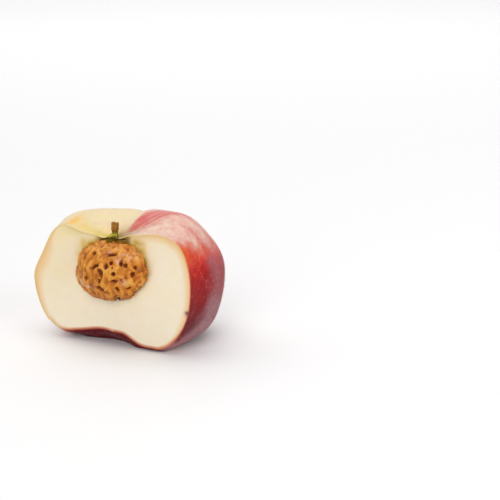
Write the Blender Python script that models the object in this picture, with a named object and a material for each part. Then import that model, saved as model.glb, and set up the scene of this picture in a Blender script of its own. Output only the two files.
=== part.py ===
# Half of a flat, white-fleshed stone fruit, standing on its base with its cut face to the front.
# Metres, +Z up. The cut face looks along -Y, +X runs to its right, and the stem axis is upright.
# Three pieces: the fruit (skin and flesh grown as one), the stone in its socket, and the stalk.

import math

import bpy
import numpy as np
from mathutils import Vector

# Driving dimensions
HALF_WIDTH = 0.033        # half the width of the cut face
HEIGHT = 0.045            # foot of the cut to the highest part of the rim
FOOT = 0.0012             # the lower edge of the cut stays this far clear of the ground
FOOT_RUN = 0.0022         # and the skin behind it comes down to the ground over this length
FOOT_WAY = 2.10           # the part of a section that comes down: start and length
FOOT_FADE = 0.50
AXIS_X = -0.0004          # the stem axis, measured from the middle of the cut face
AXIS_Y = 0.0026           # how far the stem axis lies behind the cut
GAP = 0.0003              # air between touching pieces

# The fruit's outline in upright sections round the stem axis. Each value has keys at even steps
# from the right end of the cut, round the back, to its left end, and the front mirrors the back.
BELT_REACH = (0.98, 1.23, 1.24, 1.235, 1.01)                   # shares of HALF_WIDTH
RIM_REACH = (0.58, 0.62, 0.64, 0.70, 0.60)
BASE_REACH = (0.45, 0.43, 0.32, 0.33, 0.57)
RIM_HEIGHT = (0.94, 0.99, 1.00, 1.00, 0.985, 0.985, 0.92)      # shares of HEIGHT
BELT_HEIGHT = (0.52, 0.50, 0.48, 0.48, 0.455)
BASE_HEIGHT = (-0.008, -0.013, -0.020, -0.023, 0.000)          # below zero is pressed flat
RIM_FULLNESS = (0.62, 0.54, 0.58, 0.68, 0.63)                  # curve handles, 0.55 is round
OVER_BELT_FULLNESS = (0.58, 0.55, 0.50, 0.38, 0.20)
UNDER_BELT_FULLNESS = (0.56, 0.74, 0.66, 0.60, 0.60)
BASE_FULLNESS = (0.56, 0.90, 0.85, 0.78, 0.60)
CAVITY_SLOPE = (0.90, 1.00, 1.10, 1.20, 1.10)                  # above one is a narrower bottom

# Local swellings and hollows of the skin: turn (degrees), way down the section, height (mm)
SWELLINGS = (
    (0, 0.65, -0.63), (0, 1.10, -0.51), (0, 1.50, 0.52), (0, 1.90, -0.20), (15, 2.80, 0.43),
    (40, 1.10, 1.16), (40, 1.50, -1.05), (40, 1.90, 0.47), (38, 2.40, -1.00), (40, 2.70, 0.40),
    (85, 1.10, -0.43), (120, 1.15, -0.50), (155, 1.15, -2.10), (155, 1.50, 5.20), (185, 0.65, -0.79),
    (185, 1.10, 0.51), (185, 1.50, -2.20), (185, 1.90, 0.74), (185, 2.35, -0.28), (185, 2.80, -0.74))
SWELLING_TURN = 24        # how far each one spreads round (degrees) and along the section
SWELLING_WAY = 0.30

CAVITY_FLOOR = 0.853                     # height of the stem cavity's bottom, share of HEIGHT
BLOSSOM_PIT = (-0.0040, -0.0046)         # middle of the blossom pit, in front of the cut
# The pit under the fruit: place along the cut, height of its lower edge over FOOT, and how far
# behind the cut the skin comes down to the ground (mm)
PIT_PROFILE = (
    (-30.0, -2.00, 3.0), (-28.6, 5.60, 3.0), (-27.9, 5.30, 4.0), (-25.8, 3.40, 7.5), (-23.6, 2.25, 10.5),
    (-21.5, 2.05, 11.3), (-19.2, 2.05, 11.0), (-14.8, 2.85, 9.3), (-10.4, 3.70, 9.4), (-7.0, 4.35, 10.2),
    (-4.3, 4.50, 10.6), (0.0, 4.10, 9.8), (3.8, 3.90, 7.4), (5.2, 3.30, 6.0), (6.6, 2.40, 5.0),
    (8.7, 1.25, 3.6), (10.8, 0.35, 2.6), (13.5, -0.2, 2.2), (15.5, -2.00, 2.2))
PRESSED = 0.0020                         # how far the free shape would reach below the ground
PIT_BLEND = 0.0012                       # rounding where the pit meets the underside
GROUND_BLEND = 0.00015                   # rounding round the pressed patch
SUTURE_ANGLE = math.radians(97)          # the groove between the two cheeks
SUTURE_DEPTH = 0.0009
SUTURE_WIDTH = 0.0032

AROUND = 88               # facets round the stem axis
ALONG = 10                # facets in each quarter of a section

# The stone, a flattened ball with pits and furrows
STONE_HALF = (0.0147, 0.0100, 0.0108)
STONE_HEIGHT = 0.0278     # its middle, above the ground
STONE_SWELLINGS = ((30, 0.06), (57, 0.13), (-25, -0.06), (-60, 0.042), (-110, 0.03))
STONE_SWELLING_TURN = 22  # each one: turn in the front view (degrees), and rise as a share
STONE_FRONT_STEPS = 54    # facets round its long axis, on the bare side and in the socket
STONE_BACK_STEPS = 16
STONE_LONG_STEPS = 52

# Its large pits: across, up from its middle, length, width (all mm) and tilt from upright (degrees)
LARGE_PITS = (
    (-3.4, 7.9, 1.6, 1.3, 20), (3.9, 8.2, 3.2, 1.4, 85), (4.7, 5.6, 1.3, 1.1, 0),
    (3.0, 4.3, 2.4, 1.3, 10), (8.0, 5.7, 2.2, 1.5, 15), (9.6, 5.0, 2.0, 1.4, -25),
    (12.4, 4.0, 1.6, 1.2, 20), (12.0, 1.7, 2.0, 1.6, 10), (0.8, 2.1, 3.6, 1.7, -30),
    (6.0, 2.0, 1.5, 1.4, 0), (0.6, -1.0, 1.8, 1.3, 15), (6.1, -0.8, 2.3, 1.4, 80),
    (-1.6, 3.9, 4.0, 1.4, 55), (10.0, -3.8, 1.6, 1.4, 30), (6.5, -4.0, 2.4, 1.3, -30),
    (0.9, -4.8, 5.2, 1.7, -48), (13.2, -3.0, 3.0, 1.2, 30), (-8.5, 3.4, 1.6, 1.3, 10),
    (-5.4, -1.0, 1.8, 1.3, -15), (-7.0, -5.2, 3.0, 1.4, -50), (4.2, -8.0, 2.2, 1.3, 60))
LARGE_PIT_DEPTH = 0.0014
SMALL_PITS = 150
SMALL_PIT_SIZE = 0.0014
SMALL_PIT_DEPTH = 0.0008
FURROW_DEPTH = 0.0003
SEED = 7

# The stalk, from its foot on the stone to its cleft tip
STALK_RADIUS = 0.00135
STALK_TOP = 0.0454
STALK_LEAN = 0.0005       # how far the tip leans to the right
STALK_STEPS = 20
CLEFT_DEPTH = 0.0009
STALK_PROFILE = (         # share of the way up, share of the radius
    (0.00, 0.95), (0.16, 1.00), (0.24, 1.30), (0.34, 1.36), (0.44, 1.15), (0.52, 0.92),
    (0.60, 0.96), (0.74, 1.02), (0.86, 0.96), (0.94, 1.04), (1.00, 0.84))


def start_empty():
    for item in list(bpy.data.objects):
        bpy.data.objects.remove(item)


def make_material(name, colour, roughness):
    material = bpy.data.materials.new(name)
    material.use_nodes = True
    shader = material.node_tree.nodes["Principled BSDF"]
    shader.inputs["Base Color"].default_value = (*colour, 1.0)
    shader.inputs["Roughness"].default_value = roughness
    shader.inputs["Metallic"].default_value = 0.0
    return material


def make_object(name, points, faces, material, smooth=True):
    mesh = bpy.data.meshes.new(name)
    mesh.from_pydata([tuple(point) for point in points], [], faces)
    mesh.materials.append(material)
    if smooth:
        mesh.shade_smooth()
        mesh.set_sharp_from_angle(angle=math.radians(50))
    item = bpy.data.objects.new(name, mesh)
    bpy.context.scene.collection.objects.link(item)
    return item


def around(angle, keys):
    """A smooth value at an angle round the stem axis: a cosine series through the keys."""
    steps = len(keys) - 1
    value = 0.0
    for wave in range(steps + 1):
        weights = [math.cos(math.pi * wave * k / steps) * (0.5 if k in (0, steps) else 1.0)
                   for k in range(steps + 1)]
        share = 2 / steps * sum(w * key for w, key in zip(weights, keys))
        if wave in (0, steps):
            share /= 2
        value += share * math.cos(wave * angle)
    return value


def curve(share, start, handle_a, handle_b, end):
    """A point on a Bezier curve."""
    rest = 1 - share
    return (rest ** 3 * start + 3 * rest * rest * share * handle_a
            + 3 * rest * share * share * handle_b + share ** 3 * end)


def ease(share):
    return share * share * (3 - 2 * share)


def clamp(value):
    return min(max(value, 0.0), 1.0)


def fruit_point(angle, way):
    """A point of the skin. way runs 0 to 4: cavity floor, rim, belt, base ring, blossom pit."""
    belt = around(angle, BELT_REACH) * HALF_WIDTH
    rim = around(angle, RIM_REACH) * HALF_WIDTH
    base = around(angle, BASE_REACH) * HALF_WIDTH
    rim_z = around(angle, RIM_HEIGHT) * HEIGHT
    belt_z = around(angle, BELT_HEIGHT) * HEIGHT
    base_z = around(angle, BASE_HEIGHT) * HEIGHT
    if way <= 1:
        floor_z = CAVITY_FLOOR * HEIGHT
        reach = rim * way
        z = floor_z + (rim_z - floor_z) * ease(way ** around(angle, CAVITY_SLOPE))
        turn = 0.0
    elif way <= 2:
        share = way - 1
        reach = curve(share, rim, rim + around(angle, RIM_FULLNESS) * (belt - rim), belt, belt)
        lift = around(angle, OVER_BELT_FULLNESS) * (rim_z - belt_z)
        z = curve(share, rim_z, rim_z, belt_z + lift, belt_z)
        turn = share * math.pi / 2
    elif way <= 3:
        share = way - 2
        drop = around(angle, UNDER_BELT_FULLNESS) * (belt_z - base_z)
        reach = curve(share, belt, belt, base + around(angle, BASE_FULLNESS) * (belt - base), base)
        z = curve(share, belt_z, belt_z - drop, base_z, base_z)
        turn = (1 + share) * math.pi / 2
    else:
        reach = base
        z = base_z + (-PRESSED - base_z) * ease(clamp(3 * (way - 3)))
        turn = math.pi
    rise = swelling(angle, way) - SUTURE_DEPTH * suture(angle, reach, way)
    reach += rise * math.sin(turn)
    z += rise * math.cos(turn)
    x = AXIS_X + reach * math.cos(angle)
    y = AXIS_Y + reach * math.sin(angle)
    if way > 3:
        x += (BLOSSOM_PIT[0] - x) * (way - 3)
        y += (BLOSSOM_PIT[1] - y) * (way - 3)
    if way > 2:
        z = smooth_max(smooth_max(z, pit_height(x, y), PIT_BLEND), 0.0, GROUND_BLEND)
    settled = ease(clamp((way - FOOT_WAY) / FOOT_FADE)) * ease(clamp(y / FOOT_RUN))
    return Vector((x, y, z + FOOT * (1 - settled)))


def smooth_max(a, b, blend):
    """The higher of two heights, rounded where they meet."""
    near = max(blend - abs(a - b), 0.0)
    return max(a, b) + near * near / (4 * blend)


def pit_height(x, y):
    """Height of the skin in the blossom pit, and well below the ground away from it."""
    places, heights, depths = zip(*PIT_PROFILE)
    lift = np.interp(x * 1000, places, heights) * 0.001
    depth = np.interp(x * 1000, places, depths) * 0.001
    return float(lift + (-PRESSED - lift) * ease(clamp(y / depth)))


def turn_between(degrees, other):
    return (degrees - other + 180) % 360 - 180


def swelling(angle, way):
    height = 0.0
    for turn, place, rise in SWELLINGS:
        beside = turn_between(math.degrees(angle), turn) / SWELLING_TURN
        height += 0.001 * rise * math.exp(-beside ** 2 - ((way - place) / SWELLING_WAY) ** 2)
    return height


def suture(angle, reach, way):
    """The depth share of the groove that runs from the cavity, over the back, to the base."""
    turn = (angle - SUTURE_ANGLE + math.pi) % (2 * math.pi) - math.pi
    beside = turn * max(reach, 2 * SUTURE_WIDTH)
    fade = clamp((way - 0.1) / 0.7) * clamp((2.9 - way) / 1.2)
    return fade * math.exp(-(beside / SUTURE_WIDTH) ** 2)


def make_whole_fruit(material):
    rows = 4 * ALONG
    points = [fruit_point(0.0, 0.0)]
    for row in range(1, rows):
        for step in range(AROUND):
            points.append(fruit_point(2 * math.pi * step / AROUND, row / ALONG))
    points.append(fruit_point(0.0, 4.0))
    last = len(points) - 1
    faces = []
    for step in range(AROUND):
        beside = (step + 1) % AROUND
        faces.append((0, 1 + step, 1 + beside))
        for row in range(rows - 2):
            upper = 1 + row * AROUND
            lower = upper + AROUND
            faces.append((upper + step, lower + step, lower + beside, upper + beside))
        foot = 1 + (rows - 2) * AROUND
        faces.append((foot + step, last, foot + beside))
    return make_object("fruit", points, faces, material)


def make_box(name, low, high, material):
    xs, ys, zs = zip(low, high)
    points = [(x, y, z) for z in zs for y in ys for x in xs]
    faces = [(0, 2, 3, 1), (4, 5, 7, 6), (0, 1, 5, 4), (2, 6, 7, 3), (0, 4, 6, 2), (1, 3, 7, 5)]
    return make_object(name, points, faces, material, smooth=False)


def stone_share(across, up):
    """How far the stone's outline lies outside its oval, as a factor, at a turn of its front view."""
    turn = math.degrees(math.atan2(up, across))
    return 1 + sum(rise * math.exp(-(turn_between(turn, place) / STONE_SWELLING_TURN) ** 2)
                   for place, rise in STONE_SWELLINGS)


def swollen(point):
    share = stone_share(point.x, point.z)
    return Vector((point.x * share, point.y, point.z * share))


def ball_points(radii, front_steps, back_steps, long_steps):
    """Directions and faces of a ball with its poles on X, finer on the side facing the front."""
    turns = [math.pi * k / front_steps for k in range(front_steps)]
    turns += [math.pi + math.pi * k / back_steps for k in range(back_steps)]
    ring = len(turns)
    directions = [Vector((1, 0, 0))]
    for row in range(1, long_steps):
        polar = math.pi * row / long_steps
        for turn in turns:
            directions.append(Vector((math.cos(polar), -math.sin(polar) * math.sin(turn),
                                      math.sin(polar) * math.cos(turn))))
    directions.append(Vector((-1, 0, 0)))
    last = len(directions) - 1
    faces = []
    for step in range(ring):
        beside = (step + 1) % ring
        faces.append((0, 1 + step, 1 + beside))
        for row in range(long_steps - 2):
            near = 1 + row * ring
            far = near + ring
            faces.append((near + step, far + step, far + beside, near + beside))
        foot = 1 + (long_steps - 2) * ring
        faces.append((foot + step, last, foot + beside))
    points = [Vector(a * b for a, b in zip(direction, radii)) for direction in directions]
    return points, faces


def stone_pits():
    """Every pit as middle, long side, short side and depth, on the smooth ball."""
    rng = np.random.default_rng(SEED)
    half = Vector(STONE_HALF)
    pits = []
    for across, up, length, width, tilt in LARGE_PITS:
        share = stone_share(across, up)
        x = across * 0.001 / share
        z = up * 0.001 / share
        front = math.sqrt(max(1 - (x / half.x) ** 2 - (z / half.z) ** 2, 0.0))
        lean = math.radians(tilt)
        along = Vector((math.sin(lean), 0, math.cos(lean)))
        pits.append((Vector((x, -half.y * front, z)), along, length * 0.0006, width * 0.0006,
                     LARGE_PIT_DEPTH))
    golden = math.pi * (3 - math.sqrt(5))
    for count in range(SMALL_PITS):
        x = 1 - 2 * (count + 0.5) / SMALL_PITS
        turn = golden * count + rng.uniform(-0.3, 0.3)
        ring = math.sqrt(1 - x * x)
        middle = Vector((x * half.x, ring * math.sin(turn) * half.y, ring * math.cos(turn) * half.z))
        lean = rng.uniform(-0.7, 0.7)
        along = Vector((math.sin(lean), 0, math.cos(lean)))
        size = SMALL_PIT_SIZE * rng.uniform(0.7, 1.2) / 2
        clear = all((middle - pit[0]).length > pit[2] + 1.5 * size for pit in pits)
        if clear:
            pits.append((middle, along, 1.4 * size, size, SMALL_PIT_DEPTH * rng.uniform(0.6, 1.2)))
    return pits


def stone_relief(point, normal, pits):
    """How far the stone's surface lies inside the smooth ball."""
    x, y, z = (value * 1000 for value in point)
    across = math.sin(1.9 * x + 1.3 * math.sin(0.8 * z) + 0.5 * y)
    wave = across * math.sin(0.9 * z + 0.7 * math.sin(0.6 * x))
    depth = FURROW_DEPTH * (1 + wave)
    for middle, along, length, width, pit_depth in pits:
        off = point - middle
        if off.length > 3 * length:
            continue
        side = normal.cross(along).normalized()
        up = side.cross(normal)
        distance = (off.dot(up) / length) ** 2 + (off.dot(side) / width) ** 2
        depth = max(depth, FURROW_DEPTH + pit_depth * math.exp(-distance ** 1.6))
    return depth


def make_stone(material):
    smooth, faces = ball_points(STONE_HALF, STONE_FRONT_STEPS, STONE_BACK_STEPS, STONE_LONG_STEPS)
    pits = stone_pits()
    middle = Vector((0, 0, STONE_HEIGHT))
    points = []
    for point in smooth:
        normal = Vector(value / half ** 2 for value, half in zip(point, STONE_HALF)).normalized()
        points.append(middle + swollen(point - normal * stone_relief(point, normal, pits)))
    return make_object("stone", points, faces, material)


def make_turned(name, profile, middle, steps, material, lean=0.0, cleft=0.0):
    """A turned solid from (height, radius) pairs, with a cleft across its top."""
    low = profile[0][0]
    high = profile[-1][0]
    points = [Vector((middle.x, middle.y, low))]
    for z, radius in profile:
        share = (z - low) / (high - low)
        for step in range(steps):
            turn = 2 * math.pi * step / steps
            x = radius * math.cos(turn)
            y = radius * math.sin(turn)
            dip = cleft * math.exp(-(x / (0.35 * radius)) ** 2) if z == high else 0.0
            points.append(Vector((middle.x + x + lean * share ** 2, middle.y + y, z - dip)))
    points.append(Vector((middle.x + lean, middle.y, high - cleft)))
    last = len(points) - 1
    faces = []
    for step in range(steps):
        beside = (step + 1) % steps
        faces.append((0, 1 + beside, 1 + step))
        for row in range(len(profile) - 1):
            lower = 1 + row * steps
            upper = lower + steps
            faces.append((lower + step, lower + beside, upper + beside, upper + step))
        top = 1 + (len(profile) - 1) * steps
        faces.append((top + step, top + beside, last))
    return make_object(name, points, faces, material)


def stone_top(x, y):
    half = Vector(STONE_HALF)
    share = stone_share(x, half.z)
    return STONE_HEIGHT + share * half.z * math.sqrt(1 - (x / half.x) ** 2 - (y / half.y) ** 2)


def make_stalk(material):
    foot = stone_top(AXIS_X, AXIS_Y - STALK_RADIUS) + GAP
    profile = [(foot + (STALK_TOP - foot) * way, STALK_RADIUS * share)
               for way, share in STALK_PROFILE]
    middle = Vector((AXIS_X, AXIS_Y, 0))
    return make_turned("stem", profile, middle, STALK_STEPS, material, STALK_LEAN, CLEFT_DEPTH)


def cut_away(item, cutter):
    cutter.hide_render = True
    cutter.display_type = "WIRE"
    step = item.modifiers.new(cutter.name, "BOOLEAN")
    step.object = cutter
    step.operation = "DIFFERENCE"
    step.solver = "EXACT"
    step.material_mode = "TRANSFER"


def make_cutters(flesh):
    """The knife's cut, the stone's socket and the hole that the stalk stands in."""
    far = 3 * HALF_WIDTH
    knife = make_box("knife", (-far, -far, -far), (far, 0.0, far), flesh)
    radii = [half + GAP for half in STONE_HALF]
    points, faces = ball_points(radii, 24, 24, 24)
    middle = Vector((0, 0, STONE_HEIGHT))
    socket = make_object("socket", [middle + swollen(point) for point in points], faces, flesh)
    radius = STALK_RADIUS + GAP
    profile = [(STONE_HEIGHT, radius), (HEIGHT, radius)]
    hole = make_turned("hole", profile, Vector((AXIS_X, AXIS_Y, 0)), STALK_STEPS, flesh)
    return [knife, socket, hole]


def stand_on_origin(items, pieces):
    """Parent everything to one empty, moved so that the pieces' box stands centred on the origin."""
    holder = bpy.data.objects.new("half_fruit", None)
    bpy.context.scene.collection.objects.link(holder)
    for item in items:
        item.parent = holder
    bpy.context.view_layer.update()
    graph = bpy.context.evaluated_depsgraph_get()
    corners = [Vector(corner) for piece in pieces for corner in piece.evaluated_get(graph).bound_box]
    low = Vector(min(corner[axis] for corner in corners) for axis in range(3))
    high = Vector(max(corner[axis] for corner in corners) for axis in range(3))
    holder.location = (-(low.x + high.x) / 2, -(low.y + high.y) / 2, -low.z)
    bpy.context.view_layer.update()


def main():
    start_empty()
    skin = make_material("downy red and cream skin", (0.42, 0.10, 0.08), 0.7)
    flesh = make_material("white flesh", (0.85, 0.74, 0.53), 0.45)
    shell = make_material("woody stone", (0.52, 0.20, 0.05), 0.6)
    bark = make_material("dry stalk", (0.22, 0.13, 0.03), 0.8)
    fruit = make_whole_fruit(skin)
    cutters = make_cutters(flesh)
    for cutter in cutters:
        cut_away(fruit, cutter)
    pieces = [fruit, make_stone(shell), make_stalk(bark)]
    stand_on_origin(pieces + cutters, pieces)


main()
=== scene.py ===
import math

import bmesh
import bpy
import numpy as np
from mathutils import Matrix, Vector, noise


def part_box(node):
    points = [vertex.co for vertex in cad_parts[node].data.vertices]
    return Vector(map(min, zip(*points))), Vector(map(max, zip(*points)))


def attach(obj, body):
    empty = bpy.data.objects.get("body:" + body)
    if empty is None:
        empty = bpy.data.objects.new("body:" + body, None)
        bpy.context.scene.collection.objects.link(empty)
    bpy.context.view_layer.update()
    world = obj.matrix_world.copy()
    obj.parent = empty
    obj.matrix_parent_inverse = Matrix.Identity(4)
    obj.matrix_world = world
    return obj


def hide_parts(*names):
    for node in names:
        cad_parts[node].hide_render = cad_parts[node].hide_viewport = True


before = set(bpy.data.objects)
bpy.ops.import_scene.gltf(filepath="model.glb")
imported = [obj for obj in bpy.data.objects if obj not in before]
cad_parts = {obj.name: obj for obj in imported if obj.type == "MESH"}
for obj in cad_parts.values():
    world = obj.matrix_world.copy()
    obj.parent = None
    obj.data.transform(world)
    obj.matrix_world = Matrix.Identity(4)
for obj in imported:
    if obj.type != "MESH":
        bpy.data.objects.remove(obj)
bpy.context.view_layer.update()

print("frame loaded:", sorted(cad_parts))

# Lengths are in millimetres until makeObject turns a finished mesh into metres in the row frame.
# The formulas run in the fruit's own frame: cut at y = 0, stem axis upright near x = 0, ground at z = 0.
mm = 0.001


def toLinear(code):  # an sRGB hex colour as linear red, green, blue and alpha
    parts = [int(code[k:k + 2], 16) / 255 for k in (1, 3, 5)]
    return [p / 12.92 if p <= 0.04045 else ((p + 0.055) / 1.055) ** 2.4 for p in parts] + [1.0]


def perMetre(size):  # a pattern's scale from the size of its grain in millimetres, to the nearest ten
    return round(1 / (size * mm), -1)


def fill(tree, node, values):  # by socket name, or in order: a socket is linked, a hex colour turned linear
    for socket, value in values.items() if isinstance(values, dict) else enumerate(values):
        if isinstance(value, bpy.types.Node):
            value = value.outputs[0]
        if isinstance(value, bpy.types.NodeSocket):
            tree.links.new(value, node.inputs[socket])
        else:
            node.inputs[socket].default_value = toLinear(value) if isinstance(value, str) else value


def addNode(tree, kind, values=(), stops=(), **settings):  # a short kind is a shader node
    node = tree.nodes.new(kind if "Node" in kind else "ShaderNode" + kind)
    for name, value in settings.items():
        setattr(node, name, value)
    if stops:
        elements = node.color_ramp.elements
        while len(elements) < len(stops):
            elements.new(1.0)
        for element, (place, code) in zip(elements, stops):
            element.position = place
            element.color = toLinear(code)
    fill(tree, node, values)
    return node


def plainMaterial(name, constants):  # what is the same all over goes on the shader's own sockets
    material = bpy.data.materials.new(name)
    material.use_nodes = True
    fill(material.node_tree, material.node_tree.nodes["Principled BSDF"], constants)
    return material


def startMaterial(name, constants, zones=()):  # zones are attributes that the piece's mesh carries
    material = plainMaterial(name, constants)
    tree = material.node_tree
    place = addNode(tree, "TexCoord").outputs["Object"]
    zone = {label: addNode(tree, "Attribute", attribute_name=label).outputs["Fac"] for label in zones}
    return material, tree, place, zone


def layColours(tree, base, layers):  # each layer is an amount and a colour, laid over what is there
    for amount, colour in layers:
        base = addNode(tree, "Mix", {0: amount, 6: base, 7: colour}, data_type="RGBA").outputs[2]
    return base


def finishMaterial(material, colour, relief, strength, depth=0.2):  # colour and a fine bump, depth in mm
    tree = material.node_tree
    bump = addNode(tree, "Bump", {"Height": relief, "Strength": strength, "Distance": depth * mm})
    fill(tree, tree.nodes["Principled BSDF"], {"Base Color": colour, "Normal": bump})
    return material


def smooth(value, low=0.0, high=1.0):
    share = np.clip((value - low) / (high - low), 0, 1)
    return share * share * (3 - 2 * share)


def bell(value, middle, width):
    return np.exp(-((value - middle) / width) ** 2)


def spots(across, up, rows):  # soft spots: strength, place and half width across, place and half width up
    return sum(much * bell(across, x, wide) * bell(up, z, tall) for much, x, wide, z, tall in rows)


def lookUp(table, at):  # the first column says where, the others are read between its rows
    places, *columns = zip(*table)
    return [np.interp(at, places, column) for column in columns]


def noiseAt(points, size, seed=0.0):
    shift = Vector((seed * 7.3, seed * 3.1, seed * 5.7))
    return np.array([noise.noise(Vector(p) / size + shift) for p in points])


def turnBetween(degrees, other):
    return (degrees - other + 180) % 360 - 180


def evenTurns(count):
    return np.arange(count) * 2 * math.pi / count


def unit(vectors):
    return vectors / np.linalg.norm(vectors, axis=1)[:, None]


def addObject(name, data):
    item = bpy.data.objects.new(name, data)
    bpy.context.scene.collection.objects.link(item)
    return item


def makeObject(name, points, faces, material=None, attributes=None, sharp=50.0):
    mesh = bpy.data.meshes.new(name)
    place = np.array(points, float) * mm + rowShift
    mesh.from_pydata(place.tolist(), [], [tuple(int(k) for k in face) for face in faces])
    if material:
        mesh.materials.append(material)
    for label, values in (attributes or {}).items():
        domain = "POINT" if len(values) == len(mesh.vertices) else "FACE"
        layer = mesh.attributes.new(label, "FLOAT", domain)
        layer.data.foreach_set("value", np.array(values, np.float32))
    mesh.shade_smooth()
    mesh.set_sharp_from_angle(angle=math.radians(sharp))
    return addObject(name, mesh)


def faceOut(piece):
    work = bmesh.new()
    work.from_mesh(piece.data)
    bmesh.ops.recalc_face_normals(work, faces=work.faces[:])
    print(piece.name, "open edges:", sum(1 for e in work.edges if e.is_boundary),
          "volume mm3:", round(work.calc_volume() / mm ** 3))
    work.to_mesh(piece.data)
    work.free()
    return piece


def dress(piece, slotName, *nodes):
    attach(piece, "root")
    if nodes:
        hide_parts(*nodes)
    print(piece.name, len(piece.data.polygons), "faces")


fruit = {
    "halfWidth": 33.0, "height": 45.0, "axisX": -0.4, "axisY": 2.6,
    # at even steps from the right end of the cut, round the back, to its left end: shares of those two,
    # and below them how full the section is in between
    "lines": {
        "beltReach": (0.98, 1.23, 1.24, 1.235, 1.01),
        "rimReach": (0.58, 0.62, 0.64, 0.7, 0.6),
        "baseReach": (0.45, 0.43, 0.32, 0.33, 0.57),
        "rimHeight": (0.94, 0.99, 1.0, 1.0, 0.985, 0.985, 0.92),
        "beltHeight": (0.52, 0.5, 0.48, 0.48, 0.455),
        "baseHeight": (-0.008, -0.013, -0.02, -0.023, 0.0),
        "rimFullness": (0.62, 0.54, 0.58, 0.68, 0.63),
        "overBelt": (0.58, 0.55, 0.5, 0.38, 0.2),
        "underBelt": (0.56, 0.74, 0.66, 0.6, 0.6),
        "baseFullness": (0.56, 0.9, 0.85, 0.78, 0.6),
        "cavitySlope": (0.9, 1.0, 1.1, 1.2, 1.1)},
    # local swellings: turn (degrees), way down the section, height
    "swellings": (
        (0, 0.65, -0.63), (0, 1.1, -0.51), (0, 1.5, 0.52), (0, 1.9, -0.2), (15, 2.8, 0.43),
        (40, 1.1, 1.16), (40, 1.5, -1.05), (40, 1.9, 0.47), (38, 2.4, -1.0), (40, 2.7, 0.4),
        (85, 1.1, -0.43), (120, 1.15, -0.5), (155, 1.15, -2.1), (155, 1.5, 5.2), (185, 0.65, -0.79),
        (185, 1.1, 0.51), (185, 1.5, -2.2), (185, 1.9, 0.74), (185, 2.35, -0.28), (185, 2.8, -0.74)),
    "swellingTurn": 24, "swellingWay": 0.3,
    "cavityFloor": 0.853, "blossomPit": (-4.0, -4.6),
    # the pit underneath: place along the cut, height of the cut's lower edge, run back to the ground
    "pitProfile": (
        (-30.0, -2.0, 3.0), (-28.6, 5.6, 3.0), (-27.9, 5.3, 4.0), (-25.8, 3.4, 7.5), (-23.6, 2.25, 10.5),
        (-21.5, 2.05, 11.3), (-19.2, 2.05, 11.0), (-14.8, 2.85, 9.3), (-10.4, 3.7, 9.4), (-7.0, 4.35, 10.2),
        (-4.3, 4.5, 10.6), (0.0, 4.1, 9.8), (3.8, 3.9, 7.4), (5.2, 3.3, 6.0), (6.6, 2.4, 5.0),
        (8.7, 1.25, 3.6), (10.8, 0.35, 2.6), (13.5, -0.2, 2.2), (15.5, -2.0, 2.2)),
    "pitSoftness": 0.8, "pitBlend": 1.2,
    "pressed": 2.0, "groundBlend": 0.3,  # how far the skin would reach below the ground it rests on
    "foot": 1.2, "footRun": 2.2, "footWay": (2.1, 2.6),  # the cut stands this far clear of the ground
    "sutureAngle": 97.0, "sutureDepth": 0.9, "sutureWidth": 3.2,
    "around": 300, "rows": (44, 46, 46, 36), "weld": 0.03,  # grid of the skin, tidied along the cut
    "lump": 0.1, "lumpSize": 9.0, "smallLump": 0.35, "smallLumpSize": 3.0,  # slow waves of real fruit
    "crease": 0.16, "creases": 11,  # folds that run into the stem cavity
}


def around(turn, keys):  # a smooth line through the keys, as a sum of cosines
    steps = len(keys) - 1
    total = np.zeros_like(turn)
    for wave in range(steps + 1):
        share = sum(math.cos(math.pi * wave * k / steps) * (0.5 if k in (0, steps) else 1.0) * key
                    for k, key in enumerate(keys)) * 2 / steps
        if wave in (0, steps):
            share /= 2
        total = total + share * np.cos(wave * turn)
    return total


def curve(share, start, handleA, handleB, end):
    rest = 1 - share
    return (rest ** 3 * start + 3 * rest * rest * share * handleA
            + 3 * rest * share * share * handleB + share ** 3 * end)


def smoothMax(a, b, blend):
    near = np.maximum(blend - np.abs(a - b), 0)
    return np.maximum(a, b) + near * near / (4 * blend)


def pitHeight(x, y):  # the skin in the blossom pit, and well below the ground away from it
    shift = fruit["pitSoftness"]
    lift = sum(lookUp(fruit["pitProfile"], x + step)[0] for step in (-shift, 0, shift)) / 3
    depth = lookUp(fruit["pitProfile"], x)[1]
    return lift - (fruit["pressed"] + lift) * smooth(y / depth)


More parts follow.
